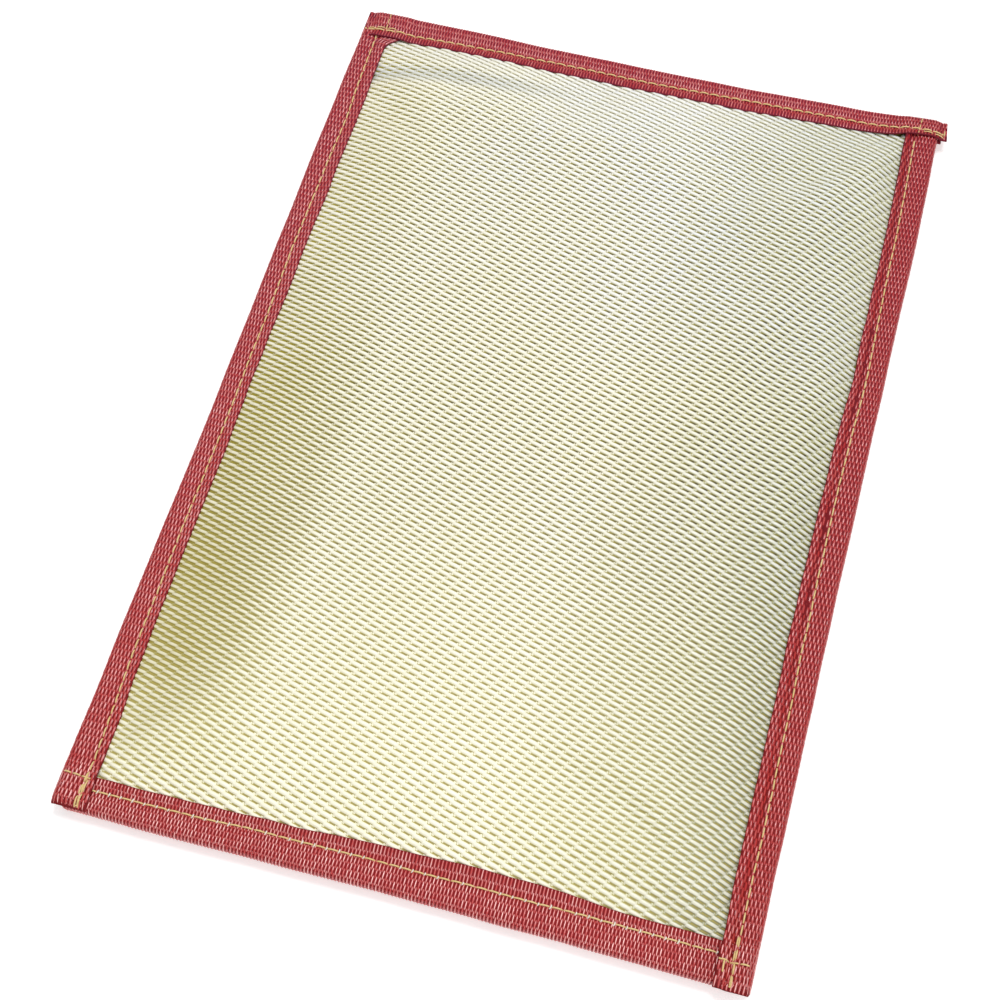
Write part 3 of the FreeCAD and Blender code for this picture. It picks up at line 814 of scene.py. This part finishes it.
# %% [markdown]
# ## The tape's finish
# The tape is woven of crimson yarn with long floats that run with the blanket's long side on all
# four tapes. The floats are glossy, with painted shade on their flanks and a painted pale pink
# highlight on their crowns, strongest on the near tape, and the ground between them is a deep wine
# red. The far tape is a little more purple than the near one, and the right one is made a little
# darker by painted shade.

# %% Tape materials
# A painted highlight colour, a random red tone for some floats and a painted flank shade.
GLINT_PINK = (1.0, 0.60, 0.56, 1)
BRIGHT_RED = (0.80, 0.10, 0.09, 1)
WINE_FLANK_SHADE = (0.27, 0.004, 0.006, 1)


def float_shade_and_glints(tree, colour, y, shaded):
    """Painted shade on the flanks and painted pale pink highlights on the crowns of the tape's
    floats.
    """
    tone, crown = attribute(tree, "tone"), attribute(tree, "crown")
    colour = blend_colours(tree, times(tree, tone, 0.25), colour, BRIGHT_RED)
    # Painted shade: each float darkens towards its flanks.
    colour = blend_colours(tree, calculate(tree, "POWER", crown, 1.1), WINE_FLANK_SHADE, colour)
    # The painted highlights are strongest on the near tape and weaker where the right tape is shaded.
    near = calculate(tree, "MULTIPLY_ADD", fade(tree, y, -0.125, -0.142), 0.9, 0.6)
    near = calculate(tree, "SUBTRACT", near, shaded)
    glint_strength = calculate(tree, "MULTIPLY_ADD", calculate(tree, "POWER", tone, 1.5), 0.85, 0.08)
    # A painted pale pink highlight along each float's crown, stronger on some floats than others.
    pale = times(tree, fade(tree, crown, 0.58, 0.95), glint_strength, near)
    return blend_colours(tree, pale, colour, GLINT_PINK)


def crimson_material(name, light, dark, rough, gloss, streak_scale, glinting_crowns):
    """Crimson yarn with fine streaks along it."""
    material, tree, shader = new_material(name, light)
    x, y = object_xy(tree)
    far = calculate(tree, "MULTIPLY_ADD", y, 4.5, 0.5)
    streaks = fibre_noise(tree, streak_scale, 2.0)
    patches = fibre_noise(tree, (60, 60, 60), 3.0)
    # Painted shade: the right tape, and everything right of about 80 mm, is darkened.
    shaded = times(tree, fade(tree, x, 0.078, 0.086), 0.35)
    colour = blend_colours(tree, streaks, light, dark)
    colour = blend_colours(tree, times(tree, far, 0.7), colour, (light[0] * 0.6, 0.010, 0.035, 1))
    colour = blend_colours(tree, times(tree, patches, 0.3), colour, (light[0], 0.030, 0.030, 1))
    colour = blend_colours(tree, shaded, colour, (light[0] * 0.5, 0.005, 0.004, 1))
    # Floats get painted flank shade and painted crown highlights.
    if glinting_crowns:
        colour = float_shade_and_glints(tree, colour, y, shaded)
    tree.links.new(colour, shader.inputs["Base Color"])
    raise_fibres(tree, shader, streaks, 0.35, 0.2 * MM)
    shine = calculate(tree, "MULTIPLY_ADD", streaks, 0.25, rough)
    tree.links.new(shine, shader.inputs["Roughness"])
    shader.inputs["Specular IOR Level"].default_value = gloss
    return material


TAPE_FLOAT = crimson_material("crimson_tape_floats", (0.68, 0.026, 0.024, 1),
                              (0.46, 0.010, 0.012, 1), 0.20, 1.0, (3500, 220, 3500), True)
TAPE_GROUND = crimson_material("wine_tape_ground", (0.26, 0.004, 0.007, 1),
                               (0.11, 0.001, 0.003, 1), 0.60, 0.2, (1400, 500, 1400), False)

# %% [markdown]
# ## Weaving and folding the tapes
# The tape's floats repeat on a brick pattern: pairs 2.1 mm apart along the floats and half a
# column to the side. A pair is made once and repeated by two Array modifiers on the flat strip.

# %% Tape strips and their floats
COLUMN = 1.03 * MM
BRICK = 4.26 * MM
TAPE_FLOAT_SIZE = (2.9 * MM, 0.74 * MM, 0.32 * MM)
STRIP_CELL = 1.5 * MM
STRIP_ROWS = 30


def flat_place(tape, across, along_y):
    """Strip coordinates (u, t) of a point of the flat weave, whose floats run along Y."""
    if tape.along == "x":
        return across, tape.width / 2 + tape.side * along_y
    return along_y, tape.width / 2 + tape.side * across


def tape_strip(name, tape):
    """The folded strip itself."""
    bm = bmesh.new()
    length = tape.end - tape.start
    made = bmesh.ops.create_grid(bm, x_segments=round(length / STRIP_CELL), y_segments=STRIP_ROWS,
                                 size=0.5)["verts"]
    uv = bm.loops.layers.uv.new("flat_cloth")
    for face in bm.faces:
        for loop in face.loops:
            loop[uv].uv = (loop.vert.co.x * length, loop.vert.co.y * tape.width)
    for vert in made:
        u = (tape.start + tape.end) / 2 + vert.co.x * length
        vert.co = tape.place(u, (vert.co.y + 0.5) * tape.width)
    bmesh.ops.recalc_face_normals(bm, faces=bm.faces)
    top = [face for face in bm.faces if face.calc_center_median().z > SEAM_Z + 0.9 * FLAT_HALF]
    if sum(face.normal.z for face in top) < 0:
        bmesh.ops.reverse_faces(bm, faces=bm.faces)
    surface = BVHTree.FromBMesh(bm)
    piece = to_object(bm, name, TAPE_GROUND)
    thick = piece.modifiers.new("thickness", "SOLIDIFY")
    thick.thickness = TAPE_SKIN
    thick.offset = -1.0
    applied(piece)
    return piece, surface


def fitted(room, size, step):
    """How many pairs of floats fill that room, and the step that fits them exactly."""
    pairs = round(((room - size) / (step / 2) + 1) / 2)
    return pairs, 2 * (room - size) / (2 * pairs - 1)


def tape_floats(name, tape, seed):
    """The yarn floats on a tape's whole outer face."""
    length, width, height = TAPE_FLOAT_SIZE
    span = tape.end - tape.start
    wide, tall = (span, tape.width) if tape.along == "x" else (tape.width, span)
    columns, column = fitted(wide, width, COLUMN)
    rows, brick = fitted(tall, length, BRICK)
    bm = one_float(length, width, height, 4, 2, math.pi / 2, 0.5, 1.0)
    points_each = len(bm.verts)
    pair = bmesh.ops.duplicate(bm, geom=bm.verts[:] + bm.edges[:] + bm.faces[:])["geom"]
    moved = [item for item in pair if isinstance(item, bmesh.types.BMVert)]
    bmesh.ops.translate(bm, verts=moved, vec=(column / 2, brick / 2, 0))
    steps = (Vector((column, 0)), Vector((0, brick)))
    piece = repeated(bm, name, TAPE_FLOAT, steps, (columns, rows))
    middle = (tape.start + tape.end) / 2
    reach = Vector((wide, tall))
    bm = keep_inside(piece, -reach, reach, points_each, seed)
    for vert in bm.verts:
        u, t = flat_place(tape, vert.co.x, vert.co.y)
        vert.co = tape.place(u + middle, t, vert.co.z)
    bmesh.ops.recalc_face_normals(bm, faces=bm.faces)
    for face in bm.faces:
        face.smooth = True
    bm.to_mesh(piece.data)
    bm.free()
    print(name, len(piece.data.polygons), "faces")
    return piece


strips, strip_floats, TAPE_SURFACE = {}, {}, {}
for number, (side, tape) in enumerate(TAPES.items()):
    strips[side], TAPE_SURFACE[side] = tape_strip(f"binding_tape_{side}_strip", tape)
    strip_floats[side] = tape_floats(f"binding_tape_{side}_floats", tape, 20 + number)
    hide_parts(f"binding_tape_{side}")

# %% [markdown]
# ## The sewing thread
# The seams are lockstitched. On top, the needle thread shows as a row of floats a few millimetres
# long that dive into the cloth at each needle hole. Below, the bobbin thread does the same. Here each
# thread is one smooth curve with a round bevel, laid on the tape's real surface, so it follows the
# hollow of the seam and the steps at the corners.

# %% Thread material
def thread_material(name, light, dark, worn):
    """Twisted thread: a slanting fine noise, lighter where it is worn."""
    material, tree, shader = new_material(name, light)
    twist = fibre_noise(tree, (2600, 2600, 900), 2.0, 0.6)
    patches = fibre_noise(tree, (90, 90, 90), 2.0)
    base = blend_colours(tree, twist, light, dark)
    aged = blend_colours(tree, calculate(tree, "MULTIPLY", patches, 0.5), base, worn)
    tree.links.new(aged, shader.inputs["Base Color"])
    raise_fibres(tree, shader, twist, 0.5, 0.2 * MM)
    shader.inputs["Roughness"].default_value = 0.5
    shader.inputs["Sheen Weight"].default_value = 0.25
    return material


THREAD = thread_material("pale_yellow_thread", (0.84, 0.62, 0.24, 1), (0.50, 0.29, 0.07, 1),
                         (0.80, 0.66, 0.38, 1))
PALE_THREAD = thread_material("white_thread", (0.92, 0.88, 0.78, 1), (0.70, 0.62, 0.46, 1),
                              (0.9, 0.9, 0.84, 1))
THREAD_RADIUS = 0.25 * MM
FLOAT_TOP = TAPE_FLOAT_SIZE[2]

# %% [markdown]
# A row of stitches is drawn through a few points for each stitch: it leaves one needle hole, arches
# over the tape and dives into the next hole.

# %% Thread curves
# Each stitch in thread thicknesses: how far along it is, and how high the thread's middle lies.
STITCH = ((0.0, -2.4), (0.10, -0.5), (0.26, 0.45), (0.50, 0.65), (0.74, 0.45), (0.90, -0.5))


def thread_piece(name, strands, material=THREAD, radius=THREAD_RADIUS):
    """One piece of thread from one or more strands, each a list of points."""
    curve = bpy.data.curves.new(name, "CURVE")
    curve.dimensions = "3D"
    curve.bevel_depth = radius
    curve.bevel_resolution = 1
    curve.use_fill_caps = True
    curve.resolution_u = 3
    for points in strands:
        spline = curve.splines.new("NURBS")
        spline.points.add(len(points) - 1)
        for spot, place in zip(spline.points, points):
            spot.co = (*place, 1.0)
        spline.order_u = 3
        spline.use_endpoint_u = True
    drawn = bpy.data.objects.new(f"{name}_curve", curve)
    scene.collection.objects.link(drawn)
    graph = bpy.context.evaluated_depsgraph_get()
    mesh = bpy.data.meshes.new_from_object(drawn.evaluated_get(graph))
    bpy.data.objects.remove(drawn)
    bm = bmesh.new()
    bm.from_mesh(mesh)
    bmesh.ops.remove_doubles(bm, verts=bm.verts, dist=0.002 * MM)
    bmesh.ops.recalc_face_normals(bm, faces=bm.faces)
    piece = to_object(bm, name, material)
    return piece


def laid(tree, x, y, upper, lift):
    """A point that far off the tape's outer face."""
    place, _ = on_surface(tree, x, y, upper)
    return place + Vector((0, 0, lift if upper else -lift))


def stitch_points(tree, ends, upper, slack=0.0, aside=0.0, dip=1.0):
    """The points of a row of stitches between needle holes, each hole given as (x, y).

    slack lifts the thread towards each stitch's end, in mm; aside shifts the whole row; dip scales
    how deep the thread dives at the holes.
    """
    points = []
    for (x0, y0), (x1, y1) in zip(ends, ends[1:]):
        length = math.hypot(x1 - x0, y1 - y0)
        across = Vector((y0 - y1, x1 - x0)) / length * aside
        for part, height in STITCH:
            x = x0 + (x1 - x0) * part + across.x
            y = y0 + (y1 - y0) * part + across.y
            height *= dip if height < 0 else 1.0
            lift = FLOAT_TOP * 0.6 + height * THREAD_RADIUS * 2 + slack * MM * part
            points.append(laid(tree, x, y, upper, lift))
    points.append(laid(tree, *ends[-1], upper, -0.5 * MM))
    return points


def seam_holes(tape, first, last, count, draw):
    """Needle holes along a tape's seam line, a little uneven."""
    holes = []
    for step in range(count + 1):
        u = first + (last - first) * step / count + draw.uniform(-0.12, 0.12) * MM
        holes.append(tape.plan(u, tape.seam_inset(u) + draw.uniform(-0.08, 0.08) * MM))
    return holes


SEAMS = {
    "near": (-91.5 * MM, 90.0 * MM, 51),
    "left": (-149.2 * MM, 140.6 * MM, 82),
    "right": (-150.2 * MM, 140.6 * MM, 82),
    "far": (-99.2 * MM, 101.6 * MM, 56),
}
SHALLOW_DIP = 0.6
HOLES = {}
draw = random.Random(7)
for side, (first, last, count) in SEAMS.items():
    HOLES[side] = seam_holes(TAPES[side], first, last, count, draw)
    dip = SHALLOW_DIP if side in ("near", "far") else 1.0
    above = stitch_points(TAPE_SURFACE[side], HOLES[side], True, dip=dip)
    below = stitch_points(TAPE_SURFACE[side], HOLES[side], False)
    needle = thread_piece(f"needle_thread_{side}_stitches", [above])
    bobbin = thread_piece(f"bobbin_thread_{side}_stitches", [below])
    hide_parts(f"needle_thread_{side}")
    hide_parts(f"bobbin_thread_{side}")
    print(side, "seam:", count, "stitches,", round((last - first) / count / MM, 2), "mm each")

# %% [markdown]
# On the near side the bobbin thread was pulled up: a tiny white loop shows round the needle thread
# at many of the holes.

# %% White loops on the near seam
# Each loop's points: mm along the seam, share of its size across it, and mm above the tape.
LOOP = ((-0.3, -1.0, -0.3), (0.1, -0.5, 0.42), (0.2, 0.3, 0.55), (0.0, 1.0, -0.3))
LOOP_SHARE = 0.72
LOOP_RADIUS = 0.22 * MM

loops = []
for x, y in HOLES["near"]:
    if draw.random() < LOOP_SHARE:
        size = draw.uniform(0.40, 0.75) * MM
        loops.append([laid(TAPE_SURFACE["near"], x + along * MM, y + across * size, True, lift * MM)
                      for along, across, lift in LOOP])
thread_piece("bobbin_thread_near_loops", loops, PALE_THREAD, LOOP_RADIUS)
print(len(loops), "loops pulled up")

# %% [markdown]
# ## The corners
# Each corner has a short row of stitches across its tape, where the sewing turned, and some seams
# end in a few stitches sewn back over themselves, which look thicker and yellower.

# %% Corner stitches
def row(start, end, count):
    """Evenly spaced needle holes from one place to another."""
    return [(start[0] + (end[0] - start[0]) * i / count, start[1] + (end[1] - start[1]) * i / count)
            for i in range(count + 1)]


def corner(side_x, side_y, x, y):
    """Plan coordinates of a point given as distances in mm from that corner of the pad."""
    return side_x * (HALF_X - x * MM), side_y * (HALF_Y - y * MM)


# The tape sewn across, the corner's signs, and the row's first hole, last hole and stitches.
CORNERS = {
    "near_left": ("left", (-1, -1), ((0.7, 9.6), (9.0, 9.2), 3)),
    "near_right": ("right", (1, -1), ((0.7, 6.5), (9.2, 6.1), 3)),
    "far_left": ("far", (-1, 1), ((8.0, 0.8), (8.3, 8.6), 3)),
    "far_right": ("far", (1, 1), ((6.2, 0.8), (6.5, 8.6), 3)),
}
# Rows sewn back over a seam's end: first hole, last hole, stitches, and mm that the row lies aside.
BACK_TACKS = {
    "near_left": [((7.7, 0.3), (8.3, 11.0), 3, 0.42), ((7.7, 0.3), (8.2, 9.0), 2, -0.42)],
    "near_right": [((7.6, 2.6), (7.8, 6.4), 1, 0.0), ((4.6, -0.4), (4.9, 6.3), 2, 0.0),
                   ((5.0, 6.3), (5.0, 14.0), 2, 0.45)],
    "far_left": [((0.6, 8.8), (12.0, 8.0), 3, 0.40)],
    "far_right": [((-1.9, 3.0), (-2.0, 5.8), 1, 0.0), ((-2.2, 5.8), (5.0, 5.8), 2, 0.42)],
}
BACK_TACK_SLACK = 0.25
for place, (side, signs, (start, end, count)) in CORNERS.items():
    tree = TAPE_SURFACE[side]
    across = row(corner(*signs, *start), corner(*signs, *end), count)
    strands = [stitch_points(tree, across, True)]
    for first, last, stitches, aside in BACK_TACKS[place]:
        holes = row(corner(*signs, *first), corner(*signs, *last), stitches)
        strands.append(stitch_points(tree, holes, True, BACK_TACK_SLACK, aside * MM))
    radius = THREAD_RADIUS if signs[1] < 0 else 0.7 * THREAD_RADIUS
    above = thread_piece(f"corner_tack_{place}_needle", strands, THREAD, radius)
    below = thread_piece(f"corner_tack_{place}_bobbin", [stitch_points(tree, across, False)])
    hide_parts(f"corner_tack_needle_{place}")
    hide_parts(f"corner_tack_bobbin_{place}")

# %% [markdown]
# ## The felt inside
# Two layers of needled felt fill the pad. They can't be seen, but they are part of the blanket, so
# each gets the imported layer's outline with soft, uneven faces and a felt finish.

# %% Felt layers
def felt_material():
    """Matt, fuzzy off-white fibre."""
    material, tree, shader = new_material("needled_felt", (0.86, 0.84, 0.78, 1))
    fibres = fibre_noise(tree, (500, 900, 900), 5.0)
    colour = blend_colours(tree, fibres, (0.88, 0.86, 0.80, 1), (0.70, 0.66, 0.56, 1))
    tree.links.new(colour, shader.inputs["Base Color"])
    raise_fibres(tree, shader, fibres, 0.8, 0.5 * MM)
    shader.inputs["Roughness"].default_value = 0.95
    shader.inputs["Sheen Weight"].default_value = 0.4
    return material


FELT = felt_material()
FELT_CELLS = 41
FELT_SLOPE = 14 * MM
FELT_RIM_SHARE = 0.35
FELT_CLEARANCE = 0.8 * MM


def felt_pad(name, node):
    """A soft copy of a packed felt layer, kept clear of the cloth."""
    low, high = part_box(node)
    bm = bmesh.new()
    bmesh.ops.create_grid(bm, x_segments=FELT_CELLS, y_segments=FELT_CELLS, size=0.5)
    raised = bmesh.ops.extrude_face_region(bm, geom=bm.faces[:])["geom"]
    lifted = [part for part in raised if isinstance(part, bmesh.types.BMVert)]
    bmesh.ops.translate(bm, verts=lifted, vec=(0, 0, 1))
    bmesh.ops.recalc_face_normals(bm, faces=bm.faces[:])
    bmesh.ops.scale(bm, verts=bm.verts[:], vec=high - low)
    centre = (low + high) / 2
    bmesh.ops.translate(bm, verts=bm.verts[:], vec=(centre.x, centre.y, low.z))
    middle = (low.z + high.z) / 2
    for vert in bm.verts:
        x, y = vert.co.x, vert.co.y
        edge = min(high.x - abs(x), high.y - abs(y))
        rise = math.sin(min(edge / FELT_SLOPE, 1.0) * math.pi / 2)
        thin = FELT_RIM_SHARE + (1.0 - FELT_RIM_SHARE) * rise
        wobble = 1.0 + 0.05 * wander(x, y, 0.012, 9)
        vert.co.z = middle + (vert.co.z - middle) * thin * wobble * 0.96
        limit, _ = on_surface(FRONT, x, y, True)
        floor, _ = on_surface(BACK, x, y, False)
        vert.co.z = min(max(vert.co.z, floor.z + FELT_CLEARANCE), limit.z - FELT_CLEARANCE)
    bmesh.ops.recalc_face_normals(bm, faces=bm.faces)
    piece = to_object(bm, name, FELT)
    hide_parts(node)
    print(name, [round(side / MM, 1) for side in high - low], "mm")


felt_pad("felt_layer_upper_pad", "felt_layer_upper")
felt_pad("felt_layer_lower_pad", "felt_layer_lower")

# %% [markdown]
# ## The strips and their tapes
# The two faces are stretched over the felt and the tapes are folded. A last loop looks up each
# strip's tape and does nothing with it.

for side, strip in strips.items():
    tape = TAPES[side]

# %% [markdown]
# ## Floor and light
# The blanket lies on a plain pale floor under soft, bright studio light: a white sky all round, one
# large lamp overhead from the far side, and a smaller one from the near right that puts the gloss
# on the yarns. The floor glows a little, so that the shadow round the blanket stays faint.

# %% Floor and lights
def pale_floor():
    """A plain floor that isn't part of the blanket."""
    bm = bmesh.new()
    bmesh.ops.create_grid(bm, x_segments=1, y_segments=1, size=3.0)
    material, _, shader = new_material("pale_floor", (0.95, 0.95, 0.95, 1))
    shader.inputs["Base Color"].default_value = (0.93, 0.93, 0.93, 1)
    shader.inputs["Roughness"].default_value = 0.9
    shader.inputs["Emission Color"].default_value = (1, 1, 1, 1)
    shader.inputs["Emission Strength"].default_value = 0.3
    mesh = bpy.data.meshes.new("floor")
    bm.to_mesh(mesh)
    bm.free()
    mesh.materials.append(material)
    floor = bpy.data.objects.new("floor", mesh)
    scene.collection.objects.link(floor)


def soft_lamp(name, place, size, power):
    """A square area lamp aimed at the blanket."""
    light = bpy.data.lights.new(name, "AREA")
    light.size = size
    light.energy = power
    lamp = bpy.data.objects.new(name, light)
    lamp.location = place
    lamp.rotation_euler = (-Vector(place)).to_track_quat("-Z", "Y").to_euler()
    scene.collection.objects.link(lamp)


pale_floor()
world = bpy.data.worlds.new("white_studio")
world.use_nodes = True
sky = world.node_tree.nodes["Background"]
sky.inputs["Color"].default_value = (1, 1, 1, 1)
mirrored = add(world.node_tree, "ShaderNodeLightPath").outputs["Is Glossy Ray"]
strength = calculate(world.node_tree, "MULTIPLY_ADD", mirrored, -0.45, 0.62)
world.node_tree.links.new(strength, sky.inputs["Strength"])
scene.world = world
scene.view_settings.view_transform = "Standard"
soft_lamp("overhead_lamp", (0.05, 0.32, 1.10), 0.50, 7.0)
soft_lamp("near_right_lamp", (0.50, -0.70, 0.80), 0.40, 3.0)
